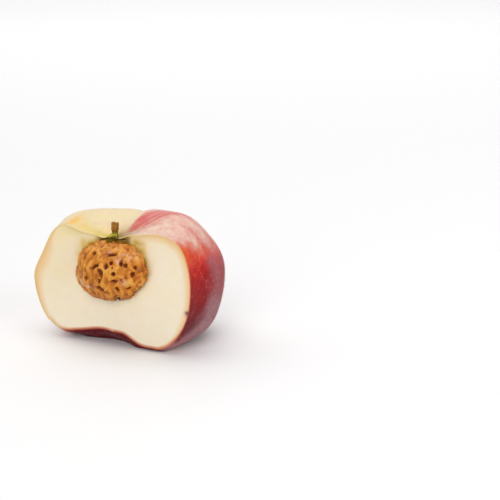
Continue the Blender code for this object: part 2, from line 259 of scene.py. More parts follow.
def fruitPoints(turn, way):  # way runs 0 to 4: cavity floor, rim, belt, base ring, blossom pit
    line = {name: around(turn, keys) for name, keys in fruit["lines"].items()}
    rim, belt, base = (line[part + "Reach"] * fruit["halfWidth"] for part in ("rim", "belt", "base"))
    rimZ, beltZ, baseZ = (line[part + "Height"] * fruit["height"] for part in ("rim", "belt", "base"))
    floorZ = fruit["cavityFloor"] * fruit["height"]
    inner, upper, lower, under = (np.clip(way - start, 0, 1) for start in (0, 1, 2, 3))
    slope = np.maximum(inner, 1e-9) ** line["cavitySlope"]
    overRim = rim + line["rimFullness"] * (belt - rim)
    underBelt = base + line["baseFullness"] * (belt - base)
    lift = line["overBelt"] * (rimZ - beltZ)
    drop = line["underBelt"] * (beltZ - baseZ)
    stretch = [way <= 1, way <= 2, way <= 3]
    reach = np.select(stretch, [rim * inner, curve(upper, rim, overRim, belt, belt),
                                curve(lower, belt, belt, underBelt, base)], base)
    inside = baseZ - (fruit["pressed"] + baseZ) * smooth(3 * (way - 3))
    z = np.select(stretch, [floorZ + (rimZ - floorZ) * smooth(slope),
                            curve(upper, rimZ, rimZ, beltZ + lift, beltZ),
                            curve(lower, beltZ, beltZ - drop, baseZ, baseZ)], inside)
    tilt = np.select(stretch, [0 * way, upper * math.pi / 2, (1 + lower) * math.pi / 2], math.pi)
    swing = np.radians(turnBetween(np.degrees(turn), fruit["sutureAngle"]))
    beside = swing * np.maximum(reach, 2 * fruit["sutureWidth"])
    fade = np.clip((way - 0.1) / 0.7, 0, 1) * np.clip((2.9 - way) / 1.2, 0, 1)
    swell = sum(rise * bell(turnBetween(np.degrees(turn), place), 0, fruit["swellingTurn"])
                * bell(way, down, fruit["swellingWay"]) for place, down, rise in fruit["swellings"])
    push = swell - fruit["sutureDepth"] * fade * bell(beside, 0, fruit["sutureWidth"])
    reach = reach + push * np.sin(tilt)
    z = z + push * np.cos(tilt)
    x = fruit["axisX"] + reach * np.cos(turn)
    y = fruit["axisY"] + reach * np.sin(turn)
    x = x + (fruit["blossomPit"][0] - x) * under
    y = y + (fruit["blossomPit"][1] - y) * under
    low = smoothMax(smoothMax(z, pitHeight(x, y), fruit["pitBlend"]), 0, fruit["groundBlend"])
    settled = smooth(way, *fruit["footWay"]) * smooth(y / fruit["footRun"])
    return np.stack([x, y, np.where(way > 2, low, z) + fruit["foot"] * (1 - settled)], -1)


def wholeSkin():
    count = fruit["around"]
    ways = np.concatenate([k + np.arange(rows) / rows for k, rows in enumerate(fruit["rows"])])[1:]
    turn, way = np.meshgrid(evenTurns(count), ways)
    grid = fruitPoints(turn, way).reshape(-1, 3)
    ends = fruitPoints(np.array([0.0, 0.0]), np.array([0.0, 4.0]))
    points = np.vstack([ends[:1], grid, ends[1:]])
    last = len(points) - 1
    faces = []
    for step in range(count):
        beside = (step + 1) % count
        faces.append((0, 1 + step, 1 + beside))
        for a in range(1, last - count, count):
            b = a + count
            faces.append((a + step, b + step, b + beside, a + beside))
        foot = last - count
        faces.append((foot + step, last, foot + beside))
    return points, faces, np.concatenate([[0.0], way.ravel(), [4.0]])


def meshNormals(points, faces):
    mesh = bpy.data.meshes.new("normals")
    mesh.from_pydata(points.tolist(), [], faces)
    found = np.array([v.normal[:] for v in mesh.vertices])
    bpy.data.meshes.remove(mesh)
    return found


def addWaves(points, faces, way):  # slow lumps, and creases that run down into the stem cavity
    normals = meshNormals(points, faces)
    turn = np.arctan2(points[:, 1] - fruit["axisY"], points[:, 0] - fruit["axisX"])
    wave = fruit["lump"] * (noiseAt(points, fruit["lumpSize"])
                            + fruit["smallLump"] * noiseAt(points, fruit["smallLumpSize"], 1))
    folds = np.sin(fruit["creases"] * turn + 2.0 * noiseAt(points, 6.0, 2))
    wave = wave + fruit["crease"] * folds * bell(way, 0.42, 0.2)
    pressed = points[:, 2] < 0.02
    moved = points + normals * np.where(pressed, 0, wave)[:, None]
    moved[:, 2] = np.maximum(moved[:, 2], 0)
    return moved


def halve(points, faces, way):  # the knife's cut at y = 0, with the loop of points that it leaves
    work = bmesh.new()
    layer = work.verts.layers.float.new("way")
    verts = [work.verts.new(p) for p in points]
    for vert, value in zip(verts, way):
        vert[layer] = value
    for face in faces:
        work.faces.new([verts[k] for k in face])
    bmesh.ops.bisect_plane(work, geom=work.verts[:] + work.edges[:] + work.faces[:], dist=1e-5,
                           plane_co=(0, 0, 0), plane_no=(0, -1, 0), clear_outer=True)
    bmesh.ops.remove_doubles(work, verts=[v for v in work.verts if v.is_boundary], dist=fruit["weld"])
    work.verts.index_update()
    work.normal_update()
    loop = [next(v for v in work.verts if v.is_boundary)]
    while True:
        nearby = [e.other_vert(loop[-1]) for e in loop[-1].link_edges if e.is_boundary]
        ahead = next(v for v in nearby if v not in loop[-2:-1])
        if ahead is loop[0]:
            break
        loop.append(ahead)
    result = (np.array([v.co[:] for v in work.verts]), [[v.index for v in f.verts] for f in work.faces],
              np.array([v[layer] for v in work.verts]), np.array([v.normal[:] for v in work.verts]),
              np.array([v.index for v in loop]))
    work.free()
    return result


def inward(points, normals, loop, depth):  # the skin moved inwards, its edge kept in the cut's plane
    lean = normals.copy()
    lean[loop, 1] = 0
    return points - unit(lean) * depth


peel = {
    "thickness": 0.35, "fleshUnder": 0.27,
    # by the way down the section: the turn where the red cheek ends, and how softly (degrees)
    "cheekEdge": (
        (0, 64, 8), (0.3, 82, 8.6), (0.5, 87, 9), (1, 82, 12), (1.5, 86, 21), (2, 102, 30), (2.6, 128, 42),
        (3.0, 215, 50), (3.3, 260, 50)),
    # by the same way: how red the cheek is beside the cut, and farther round
    "redNearCut": (
        (0.5, 0.15), (0.8, 0.17), (1.1, 0.27), (1.36, 0.29), (1.48, 0.46), (1.58, 0.56), (1.66, 0.65),
        (1.76, 0.74), (1.9, 0.88), (2.05, 1.0)),
    "redBeyond": (
        (0.5, 0.15), (0.9, 0.2), (1.2, 0.26), (1.46, 0.28), (1.53, 0.36), (1.6, 0.46), (1.68, 0.64),
        (1.76, 0.86), (1.86, 0.96), (2.0, 1.0)),
    # soft spots: strength, turn and its half width (degrees), way down and its half width
    "spots": {
        "streaky": ((1.0, 65, 26, 0.55, 0.5),), "red": ((0.12, 44, 15, 1.12, 0.22),),
        "pink": ((1.0, 62, 22, 0.75, 0.5), (0.6, 40, 20, 1.25, 0.3)),
        "gold": ((1.0, 166, 12, 1.06, 0.13), (0.45, 173, 12, 0.72, 0.26)),
        "green": ((0.45, 174, 14, 0.34, 0.2), (0.2, 172, 14, 0.7, 0.25)),
        "orange": ((1.0, -5, 5, 1.52, 0.16),),
        # lowFloorReflection: a painted reflection of the floor on the lower right lobe, and
        # redUnderReflection the red taken out under it
        "lowFloorReflection": ((1.0, 6, 14, 2.7, 0.14),), "redUnderReflection": ((0.45, 6, 14, 2.72, 0.14),)},
    # grain in millimetres: blotches of the blush, specks, breathing dots
    "mottle": 2.38, "speck": 0.667, "dots": 1.79,
    # the blush from its ground colour to its deepest red
    "blush": ((0.0, "#e2d0a6"), (0.12, "#e2c4b0"), (0.26, "#dbada0"), (0.46, "#d07662"), (0.64, "#d04a34"),
              (0.8, "#b8241c"), (1.0, "#8f1218")),
    # what lies over it in each zone: strength and colour
    "tints": {"pink": (1.24, "#cf7078"), "gold": (0.85, "#ecb84c"), "green": (0.9, "#c4b820"),
              "smudge": (0.86, "#8a6426"), "orange": (1.0, "#d84e10"), "duskAndShade": (0.78, "#4f0a1c"),
              "bloomAndSheen": (0.7, "#ae858c")},
    "dotColour": "#dc9c8c", "sheen": "#f6dfe6",
    "cutEdge": ((0.05, "#e9d890"), (0.3, "#eccb90"), (0.66, "#dd9860"), (0.95, "#c46048")),
}


def skinZones(points, way):  # where each colour of the skin lies, 0 to 1
    x, y, z = points.T
    turn = np.degrees(np.arctan2(y - fruit["axisY"], x - fruit["axisX"]))
    turn = np.where(turn < -90, turn + 360, turn)
    spot = {name: spots(turn, way, rows) for name, rows in peel["spots"].items()}
    cloudy = noiseAt(points, 5.0, 16)
    streak = sum(much * noiseAt(np.stack([turn / wide, way * 1.6, 0 * way], -1), 1.0, seed)
                 for much, wide, seed in ((1.0, 9, 17), (0.5, 4, 18)))  # drawn out from stem to tip

    edge, soft = lookUp(peel["cheekEdge"], way)
    edge = edge + smooth(way, 0.6, 1.6) * (10 * noiseAt(points, 9.0, 4) + 5 * noiseAt(points, 3.5, 5))
    cheek = smooth(edge - turn, -soft, soft) * smooth(way, 0.16, 0.42)
    climb = way + 0.03 * noiseAt(points, 6.0, 14) + 0.03 * streak
    nearCut = lookUp(peel["redNearCut"], climb)[0]
    ripe = nearCut + (lookUp(peel["redBeyond"], climb)[0] - nearCut) * smooth(turn, 6, 16)
    ripe = ripe + (0.46 + 0.3 * streak) * spot["streaky"] + 0.18 * streak * bell(way, 1.1, 0.5) + spot["red"]
    ripe = np.maximum(ripe, smooth(turn, 50, 88) * smooth(way, 0.9, 1.5) * 0.8)  # the back is evenly red
    wash = (0.2 + 0.2 * noiseAt(points, 7.0, 15)) * bell(way, 2.2, 0.6) * smooth(turn, 90, 175)
    red = np.maximum(cheek * np.clip(ripe, 0, 1), wash) * (1 - spot["redUnderReflection"])

    # dusk: darker purple towards the bottom of the side, painted shade on the underside in the blossom pit
    # (under), darker beside the lower right of the cut, and the dark wound round the nick
    duskAndShade = smooth(way + 0.1 * cloudy, 1.95, 2.45) * smooth(115 - turn, 0, 60) * (1 - 0.8 * spot["lowFloorReflection"])
    under = smooth(way, 2.75, 3.05) * (1 - 0.95 * smooth(x, -2, 6))
    besideCut = bell(y, 0, 2.4) * smooth(x, 5, 15) * smooth(z, 17, 14) * smooth(z, 2, 5)
    byNick = bell(np.linalg.norm(points - [31.2, 0, 16.0], axis=1), 0, 1.6)
    duskAndShade = np.max([duskAndShade, under, besideCut, byNick], axis=0)

    lowDown = smooth(way, 2.0, 2.4)  # bloom: the down's pale haze on the skin's side, painted as sheen where the side is seen at a grazing angle
    behind = smooth(170 - turn, 0, 90)
    side = smooth(turn + 6 * cloudy, 12 - 8 * lowDown, 30 - 8 * lowDown) * smooth(way, 1.35, 1.85) * behind
    low = smooth(way, 2.4, 2.56) * smooth(turn + 6 * cloudy, -2, 8) * behind
    bloomAndSheen = (0.5 + 0.2 * bell(way, 1.62, 0.15)) * side
    bloomAndSheen = bloomAndSheen * (1 - 0.2 * bell(way, 2.0, 0.15) + 0.6 * smooth(way, 2.05, 2.35))
    # painted light from the white floor on the low side (low, and the band by the base ring), and
    # lowFloorReflection a painted reflection of the floor
    bloomAndSheen = bloomAndSheen + 0.6 * low + 0.6 * smooth(way, 2.55, 2.72) + 1.1 * spot["lowFloorReflection"]
    bloomAndSheen = np.clip(bloomAndSheen, 0, 1) * smooth(3.0 - way, 0, 0.25) * (1 + 0.35 * cloudy + 0.3 * streak)

    left = smooth(turn, 80, 110)  # the cavity's wall on the left is gold and green
    gold = spot["gold"] + 0.3 * bell(way, 0.3, 0.18) * left
    green = spot["green"] + bell(way, 0.05, 0.16) * left
    smudge = smooth(turn, 122, 96) * bell(way, 0.08, 0.28)
    return {name: np.clip(value, 0, 1) for name, value in (
        ("red", red), ("duskAndShade", duskAndShade), ("pink", spot["pink"] * cheek), ("bloomAndSheen", bloomAndSheen), ("gold", gold),
        ("green", green), ("smudge", smudge), ("orange", spot["orange"]))}


def skinMaterial():  # velvety skin of a ripe stone fruit: matt, with a pale bloom at grazing angles
    material, tree, place, zone = startMaterial("downySkin", {
        "Roughness": 0.62, "Specular IOR Level": 0.06, "Sheen Weight": 0.22, "Sheen Roughness": 0.14,
        "Sheen Tint": peel["sheen"], "Subsurface Weight": 0.1,
        "Subsurface Radius": (1.0, 0.35, 0.2), "Subsurface Scale": 2 * mm},
        ["red", "cutEdge", *peel["tints"]])
    # the specks of real down are about 0.1 mm, drawn coarser so that they show
    mottle, fine = (addNode(tree, "TexNoise", {
        "Vector": place, "Scale": perMetre(peel[size]), "Detail": detail})
        for size, detail in (("mottle", 4.0), ("speck", 3.0)))
    spread = addNode(tree, "Math", (mottle, 0.5), operation="SUBTRACT")
    grain = addNode(tree, "Math", (fine, 0.5), operation="SUBTRACT")
    both = addNode(tree, "Math", (grain, 0.6, spread), operation="MULTIPLY_ADD")
    amount = addNode(tree, "Math", (both, 0.44, zone["red"]), operation="MULTIPLY_ADD", use_clamp=True)
    blush = addNode(tree, "ValToRGB", (amount,), stops=peel["blush"])
    specks = addNode(tree, "MapRange", (fine, 0.35, 0.65, 0.66, 1.34))
    broken = {"bloomAndSheen": specks, "pink": amount}  # bloom lies in specks, pink only where there is red
    layers = []
    for name, (strength, colour) in peel["tints"].items():
        much = addNode(tree, "Math", (zone[name], strength), operation="MULTIPLY")
        if name in broken:
            much = addNode(tree, "Math", (much, broken[name]), operation="MULTIPLY", use_clamp=True)
        layers.append((much, colour))
    # pale breathing dots, 0.3 mm wide, in every second cell
    dots = addNode(tree, "TexVoronoi", {"Vector": place, "Scale": perMetre(peel["dots"])})
    dot = addNode(tree, "MapRange", (dots.outputs["Distance"], 0.08, 0.26, 0.34, 0.0))
    chosen = addNode(tree, "SeparateColor", (dots.outputs["Color"],))
    lucky = addNode(tree, "Math", (chosen, 0.5), operation="GREATER_THAN")
    for share in (amount, lucky):
        dot = addNode(tree, "Math", (dot, share), operation="MULTIPLY")
    layers.append((dot, peel["dotColour"]))
    edge = addNode(tree, "Math", (zone["cutEdge"], 0.85), operation="MULTIPLY")
    bruise = addNode(tree, "ValToRGB", (zone["red"],), stops=peel["cutEdge"])
    layers.append((edge, bruise))
    return finishMaterial(material, layColours(tree, blush, layers), fine, 0.25)


def makePeel(points, faces, way, normals, loop, material):
    inside = inward(points, normals, loop, peel["thickness"])
    count = len(points)
    wall = [[k + count for k in reversed(face)] for face in faces]
    rim = [(a, b, b + count, a + count) for a, b in zip(loop, np.roll(loop, -1))]
    values = {name: np.tile(value, 2) for name, value in skinZones(points, way).items()}
    values["cutEdge"] = [0.0] * (len(faces) * 2) + [1.0] * len(rim)
    return faceOut(makeObject("skin", np.vstack([points, inside]), faces + wall + rim, material, values))


stone = {
    "half": (14.7, 10.0, 10.8), "height": 27.8, "gap": -0.5,
    # swellings of its outline: place round it (degrees) and height as a share
    "swellings": ((5, 0.02), (30, 0.03), (57, 0.12), (136, 0.05), (176, -0.05), (-10, -0.04), (-32, -0.08),
                  (-62, -0.04), (-88, -0.04)), "swellingTurn": 22,
    "side": 118, "frontBias": 0.35,  # grid of the ball, and how far it crowds to the front
    # large pits: across, up from the middle, length, width (mm) and tilt from upright (degrees)
    "largePits": (
        (-3.4, 7.9, 1.6, 1.3, 20), (3.9, 8.2, 3.2, 1.4, 85), (4.7, 5.6, 1.3, 1.1, 0),
        (3.0, 4.3, 2.4, 1.3, 10), (8.0, 5.7, 2.2, 1.5, 15), (9.6, 5.0, 2.0, 1.4, -25),
        (12.4, 4.0, 1.6, 1.2, 20), (12.0, 1.7, 2.0, 1.6, 10), (0.8, 2.1, 3.6, 1.7, -30),
        (6.0, 2.0, 1.5, 1.4, 0), (0.6, -1.0, 1.8, 1.3, 15), (6.1, -0.8, 2.3, 1.4, 80),
        (-1.6, 3.9, 4.0, 1.4, 55), (10.0, -3.8, 1.6, 1.4, 30), (6.5, -4.0, 2.4, 1.3, -30),
        (0.9, -4.8, 5.2, 1.7, -48), (13.2, -3.0, 3.0, 1.2, 30), (-8.5, 3.4, 1.6, 1.3, 10),
        (-5.4, -1.0, 1.8, 1.3, -15), (-7.0, -5.2, 3.0, 1.4, -50), (4.2, -8.0, 2.2, 1.3, 60)),
    "largeDepth": 1.25, "pitReach": 0.6,  # a pit's rim lies this share of its size from its middle
    "smallPits": 240, "smallSize": 1.25, "smallDepth": 0.55, "seed": 7,
    "furrow": 0.72, "ridgeSize": 1.9, "lump": 0.35, "grain": 0.04, "notch": 1.5,  # relief of the shell
    # wet pale film, partly painted highlights: strength, across, half width, up, half height
    "filmAndHighlightSpots": ((1, 3.4, 2.2, 8.9, 0.8), (1, 9.8, 2.8, 7.6, 1.2), (1, 7.2, 1.2, 6.2, 0.8),
              (1, -9.6, 2.6, -3.0, 2.4), (1, -4.6, 1.8, -4.2, 1.0), (1, 9.0, 1.4, -0.8, 1.2)),
    # grain in millimetres: clouds of colour, wood grain (really finer, coarse to show), strands of the film
    "cloud": 3.85, "woodGrain": 0.77, "strand": 1.92,
    "wood": ((0.08, "#924e0c"), (0.3, "#bb6d12"), (0.56, "#ce821f"), (0.86, "#dc9d40")),
    "tints": {"speck": "#8f4616", "rim": "#9a5320", "filmAndHighlight": "#dcb494", "halo": "#a45014", "deep": "#5c2408"},
}


def stoneShare(across, up):  # how far the stone's outline lies outside its oval, as a factor
    turn = np.degrees(np.arctan2(up, across))
    return 1 + sum(rise * bell(turnBetween(turn, place), 0, stone["swellingTurn"])
                   for place, rise in stone["swellings"])


def socketReach(angle):  # the edge of the hollow that the stone lies in, seen from the front
    x, _, z = (half + stone["gap"] for half in stone["half"])
    turn = np.arange(-360, 361) * math.pi / 360
    share = stoneShare(np.cos(turn), np.sin(turn))
    across = x * np.cos(turn) * share
    up = z * np.sin(turn) * share
    return np.interp(angle, np.unwrap(np.arctan2(up, across)), np.hypot(across, up))


def ballGrid(side):  # six square grids pushed out to a ball, closer together on the front
    steps = np.tan((np.arange(side + 1) / side - 0.5) * math.pi / 2)
    u, v = (grid.ravel() for grid in np.meshgrid(steps, steps))
    one = np.ones_like(u)
    sides = [(one, u, v), (-one, v, u), (v, one, u), (u, -one, v), (u, v, one), (v, u, -one)]
    points = unit(np.vstack([np.stack(face, -1) for face in sides]))
    cell = np.arange(side * (side + 1)).reshape(side, side + 1)[:, :side].ravel()
    square = np.stack([cell, cell + 1, cell + side + 2, cell + side + 1], -1)
    faces = np.vstack([square + k * (side + 1) ** 2 for k in range(6)])
    _, first, where = np.unique(np.round(points, 7), axis=0, return_index=True, return_inverse=True)
    points = points[first]
    points[:, 1] -= stone["frontBias"]
    return unit(points), where.ravel()[faces]


def stonePits():  # middle, lean from upright, long half, short half and depth of every pit
    rng = np.random.default_rng(stone["seed"])
    half = np.array(stone["half"])
    pits = []
    for across, up, length, width, tilt in stone["largePits"]:
        share = stoneShare(across, up)
        x = across / share
        z = up / share
        front = math.sqrt(max(1 - (x / half[0]) ** 2 - (z / half[2]) ** 2, 0))
        pits.append((np.array([x, -half[1] * front, z]), math.radians(tilt),
                     length * stone["pitReach"], width * stone["pitReach"], stone["largeDepth"]))
    golden = math.pi * (3 - math.sqrt(5))
    for count in range(stone["smallPits"]):
        x = 1 - 2 * (count + 0.5) / stone["smallPits"]
        turn = golden * count + rng.uniform(-0.3, 0.3)
        ring = math.sqrt(1 - x * x)
        middle = half * [x, ring * math.sin(turn), ring * math.cos(turn)]
        lean = rng.uniform(-0.7, 0.7)
        size = stone["smallSize"] * rng.uniform(0.7, 1.2) / 2
        if all(np.linalg.norm(middle - pit[0]) > pit[2] + 1.5 * size for pit in pits):
            pits.append((middle, lean, 1.4 * size, size, stone["smallDepth"] * rng.uniform(0.6, 1.2)))
    return pits


def stoneMaterial():  # woody shell, wet from the flesh: orange tan ridges painted lighter as a highlight, red brown pits painted darker with depth as shade
    material, tree, place, zone = startMaterial("woodyStone", {
        "Roughness": 0.45, "Specular IOR Level": 0.3, "Subsurface Weight": 0.12,
        "Subsurface Radius": (1.0, 0.5, 0.2), "Subsurface Scale": 1 * mm}, ("hollow", "ridge", "filmAndHighlight", "rim"))
    cloud, fine, strand = (addNode(tree, "TexNoise", {
        "Vector": place, "Scale": perMetre(stone[size]), "Detail": detail, "Roughness": rough})
        for size, detail, rough in (("cloud", 3.0, 0.5), ("woodGrain", 3.0, 0.6), ("strand", 2.0, 0.5)))
    # the wood is lighter on ridges and lumps: partly its own tone, partly a painted highlight
    tone = addNode(tree, "Math", (cloud, 0.5, zone["ridge"]), operation="MULTIPLY_ADD", use_clamp=True)
    wood = addNode(tree, "ValToRGB", (tone,), stops=stone["wood"])
    speck = addNode(tree, "MapRange", (fine, 0.36, 0.56, 0.25, 0.0))
    # the pits: their red brown, darker the deeper they go as painted shade
    halo, deep = (addNode(tree, "MapRange", (zone["hollow"], shallow, full, 0.0, most),
                          interpolation_type="SMOOTHSTEP")
                  for shallow, full, most in ((0.02, 0.4, 0.75), (0.3, 1.0, 0.9)))
    # the pale film: tissue on the stone, its spots also painted highlights
    filmAndHighlight = addNode(tree, "MapRange", (strand, 0.4, 0.62, 0.0, 0.8))
    filmAndHighlight = addNode(tree, "Math", (filmAndHighlight, zone["filmAndHighlight"]), operation="MULTIPLY")
    amounts = {"speck": speck, "rim": zone["rim"], "filmAndHighlight": filmAndHighlight, "halo": halo, "deep": deep}
    layers = [(amounts[name], colour) for name, colour in stone["tints"].items()]
    return finishMaterial(material, layColours(tree, wood, layers), fine, 0.35)


def makeStone(material):
    ball, faces = ballGrid(stone["side"])
    half = np.array(stone["half"])
    points = ball * half
    normals = unit(points / half ** 2)
    warp = noiseAt(points, 1.1, 3)
    hollow = np.zeros(len(points))
    for middle, lean, long, short, depth in stonePits():
        off = points - middle
        near = np.nonzero(np.linalg.norm(off, axis=1) < 3 * long)[0]
        side = unit(np.cross(normals[near], [math.sin(lean), 0, math.cos(lean)]))
        up = np.cross(side, normals[near])
        away = np.hypot(np.sum(off[near] * up, 1) / long, np.sum(off[near] * side, 1) / short)
        share = 1 - smooth(away + 0.5 * warp[near], 0.3, 1.15)
        hollow[near] = np.maximum(hollow[near], depth * share)
    # upright swellings of the shell, rougher where the outline is seen
    swirl = points * [1.3, 1, 0.75] + 0.7 * np.stack([noiseAt(points, 2.0, s) for s in (11, 12, 13)], -1)
    ridge = (0.82 * smooth(noiseAt(swirl, stone["ridgeSize"], 6), -0.45, 0.45)
             + 0.18 * smooth(noiseAt(swirl, 0.8, 19), -0.5, 0.5))
    lump = noiseAt(points, 5.5, 7)
    grain = noiseAt(points, 0.45, 9)
    edgeOn = 1 - smooth(np.abs(points[:, 1]), 0, 4.0)
    sink = stone["furrow"] * (0.5 - ridge) * (1 + 0.8 * edgeOn)
    sink -= stone["lump"] * lump + stone["grain"] * grain
    moved = points - normals * (sink * (1 - smooth(hollow, 0, 1.0) * 0.7) + hollow)[:, None]
    moved[:, [0, 2]] *= stoneShare(moved[:, 0], moved[:, 2])[:, None]
    x, y, z = moved.T
    z += stone["notch"] * bell(x + 0.5 * y, 2.6, 1.2) * smooth(-z, 5, 10)  # the seam's groove, below
    # painted shade: the stone is darker towards its bottom, through the rim colour and a lower wood tone; the
    # rim colour is also darker along the edge where the stone meets the flesh
    under = smooth(-z, 4.0, 9.0)
    rim = np.clip(0.35 * bell(points[:, 1], -0.5, 2.2) + 0.35 * under, 0, 1)
    values = {"hollow": hollow / stone["largeDepth"], "ridge": 0.6 * ridge + 0.3 * lump - 0.04 - 0.12 * under,
              "filmAndHighlight": np.clip(spots(x, z, stone["filmAndHighlightSpots"]), 0, 1), "rim": rim}
    moved += [0, 0, stone["height"]]
    return faceOut(makeObject("pitStone", moved, faces, material, values, sharp=180.0))


flesh = {
    "rings": 46, "socketRings": 18,
    # the cut surface: fullness and curl at its two edges with how far they run, tears, slow waves
    "bulge": 0.12, "bulgeRun": 0.22, "curl": 0.08, "curlRun": 0.35, "torn": 0.15, "wave": 0.05,
    # small dark wounds: strength, across, half width, up, half height
    "nicks": ((1.0, 31.1, 1.4, 16.0, 0.9), (0.8, 30.0, 0.7, 16.5, 0.4)),
    # stained patches by the stone and the cavity, their olive a stain and painted shadow: across, up, half
    # width, half height, gold, yellow, olive
    "patches": (
        (10.4, 39.3, 2.6, 1.3, 0.0, 1.0, 0.5), (-11.8, 36.8, 1.8, 2.0, 0.2, 0.7, 0.0),
        (-14.4, 32.5, 1.0, 2.8, 0.25, 0.2, 0.0), (12.8, 37.6, 1.4, 1.8, 0.4, 0.2, 0.05),
        (-15.6, 41.0, 5.0, 1.6, 0.0, 0.3, 0.0)),
    # by angle from the stone's middle: width of the gold margin and of the red stain under the skin
    "margin": (
        (-180, 5.2, 0.3), (-160, 3.8, 0.4), (-140, 1.8, 0.6), (-120, 0.8, 0.8), (-60, 0.8, 1.0),
        (-45, 1.6, 0.9), (-30, 2.4, 0.3), (0, 3.0, 0.2), (14, 3.0, 0.4), (26, 3.2, 0.3), (38, 2.9, 0.2),
        (50, 2.0, 0.2), (62, 1.0, 0.1), (100, 0.5, 0.1), (150, 0.6, 0.1), (160, 2.2, 0.2), (168, 4.0, 0.3),
        (180, 5.2, 0.3)),
    # by the same angle: olive beside the stone (a stain, and on its right painted shadow), its width, yellow
    "halo": (
        (-180, 0.35, 0.8, 0.1), (-150, 0.3, 0.7, 0.05), (-120, 0.3, 0.8, 0.05), (-60, 0.3, 0.8, 0.1),
        (-24, 0.6, 1.0, 0.2), (-3, 0.75, 1.4, 0.25), (15, 0.85, 1.9, 0.3), (35, 0.8, 1.6, 0.7),
        (48, 0.65, 1.7, 0.95), (62, 0.6, 1.3, 0.95), (112, 0.5, 1.2, 0.95), (124, 0.3, 1.1, 0.95),
        (145, 0.25, 1.0, 0.9), (158, 0.2, 0.8, 0.5), (180, 0.25, 0.8, 0.1)),
    # the fibres' number round the stone and length, clouds, grain of the cells (mm, drawn coarse to show)
    "rays": 22, "rayLength": 5.0, "cloud": 7.7, "cells": 0.667,
    "pale": "#f1e6d0", "warmAndTopShade": "#eed7a2",
    "tints": {"ray": "#dfcb9c", "gold": "#e8ac54", "yellow": "#d6b418", "oliveAndShadow": "#a87e10",
              "brown": "#80600c", "stain": "#cc6a48", "wound": "#4a0e14"},
}


def fleshMaterial():  # fresh cut white flesh: moist, translucent, fibres run out from the stone
    material, tree, place, zone = startMaterial("moistFlesh", {
        "Roughness": 0.42, "Specular IOR Level": 0.45, "Subsurface Weight": 0.35,
        "Subsurface Radius": (1.0, 0.62, 0.3), "Subsurface Scale": 2.5 * mm},
        ("gold", "stain", "warmAndTopShade", "oliveAndShadow", "yellow", "brown", "wound"))
    middle = addNode(tree, "Mapping", (place, tuple(-v for v in stoneMiddle)))
    outward = addNode(tree, "VectorMath", (middle,), operation="NORMALIZE")
    length = addNode(tree, "VectorMath", (middle,), operation="LENGTH")
    ray = addNode(tree, "VectorMath", (outward, (flesh["rays"],) * 3), operation="MULTIPLY")
    stretch = addNode(tree, "Math", (length.outputs["Value"], 1 / (flesh["rayLength"] * mm)),
                      operation="MULTIPLY")
    rays = addNode(tree, "TexNoise", {"Vector": ray, "W": stretch, "Scale": 1.0, "Detail": 3.0},
                   noise_dimensions="4D")
    cloud, grain = (addNode(tree, "TexNoise", {
        "Vector": place, "Scale": perMetre(flesh[size]), "Detail": detail})
        for size, detail in (("cloud", 3.0), ("cells", 2.0)))
    tone = addNode(tree, "Math", (cloud, 0.6, zone["warmAndTopShade"]), operation="MULTIPLY_ADD", use_clamp=True)
    shade = addNode(tree, "MapRange", (rays, 0.35, 0.7, 0.0, 0.08))
    amounts = {**zone, "ray": shade}
    layers = [(tone, flesh["warmAndTopShade"])] + [(amounts[name], colour) for name, colour in flesh["tints"].items()]
    relief = addNode(tree, "Math", (rays, 0.7, grain), operation="MULTIPLY_ADD")
    return finishMaterial(material, layColours(tree, flesh["pale"], layers), relief, 0.3, 0.3)


def nearest(points, line):  # which point of a line in the cut's plane is nearest, and how far it is
    away = np.hypot(points[:, None, 0] - line[None, :, 0], points[:, None, 2] - line[None, :, 2])
    return np.argmin(away, axis=1), np.min(away, axis=1)


def fleshZones(whole, front, edge, socket, edgeRed):  # where each colour of the cut lies; front is the cut
    onCut = np.zeros(len(whole))
    onCut[front] = 1
    fromEdge, fromStone = np.full((2, len(whole)), 30.0)  # far from both, where it isn't the cut
    which, fromEdge[front] = nearest(whole[front], edge)
    fromStone[front] = nearest(whole[front], socket)[1]
    blush = np.zeros(len(whole))
    blush[front] = edgeRed[which]
    x, z = whole[:, 0], whole[:, 2]
    cloudy = noiseAt(whole, 2.2, 21)
    side = np.degrees(np.arctan2(z - stone["height"], x))
    goldWide, stainWide = lookUp(flesh["margin"], side)
    gold = 0.75 * onCut * np.clip(1 - fromEdge / goldWide, 0, 1)
    stain = onCut * blush * np.clip(1.1 - fromEdge / stainWide, 0, 1)
    # warm: the flesh yellower to the left and upward, and painted shade that darkens it towards the top
    warmAndTopShade = 0.42 * smooth(-x, -4, 30) * smooth(z, 9, 27) + 0.25 * smooth(z, 29, 43) - 0.2
    oliveAndShadowMuch, oliveAndShadowWide, yellowMuch = lookUp(flesh["halo"], side)
    # olive: a stain beside the stone, and painted shadow on the flesh at its right side
    oliveAndShadow = onCut * oliveAndShadowMuch * bell(fromStone / oliveAndShadowWide, 0, 1) * (1 + 0.6 * cloudy)
    yellow = onCut * yellowMuch * bell(fromStone, 0, 2.6) * (1 + 0.6 * cloudy)
    brown = 0.95 * onCut * smooth(x, -7.5, -4.5) * smooth(8.7 - x, 0, 2.2)
    brown = brown * smooth(z + 0.4 * cloudy, 37.6, 39.2)  # where the stalk was joined
    for across, up, wide, tall, golden, yellowish, olivishAndShadow in flesh["patches"]:
        here = onCut * spots(x, z, [(1.0, across, wide, up, tall)]) * (1 + 0.4 * cloudy)
        gold = np.maximum(gold, golden * here)
        yellow = np.maximum(yellow, yellowish * here)
        oliveAndShadow = np.maximum(oliveAndShadow, olivishAndShadow * here)
    wound = spots(x, z, flesh["nicks"])
    return {"gold": gold, "stain": stain, "warmAndTopShade": warmAndTopShade, "oliveAndShadow": np.clip(oliveAndShadow, 0, 1),
            "yellow": np.clip(yellow, 0, 1), "brown": brown, "wound": np.clip(wound, 0, 1)}


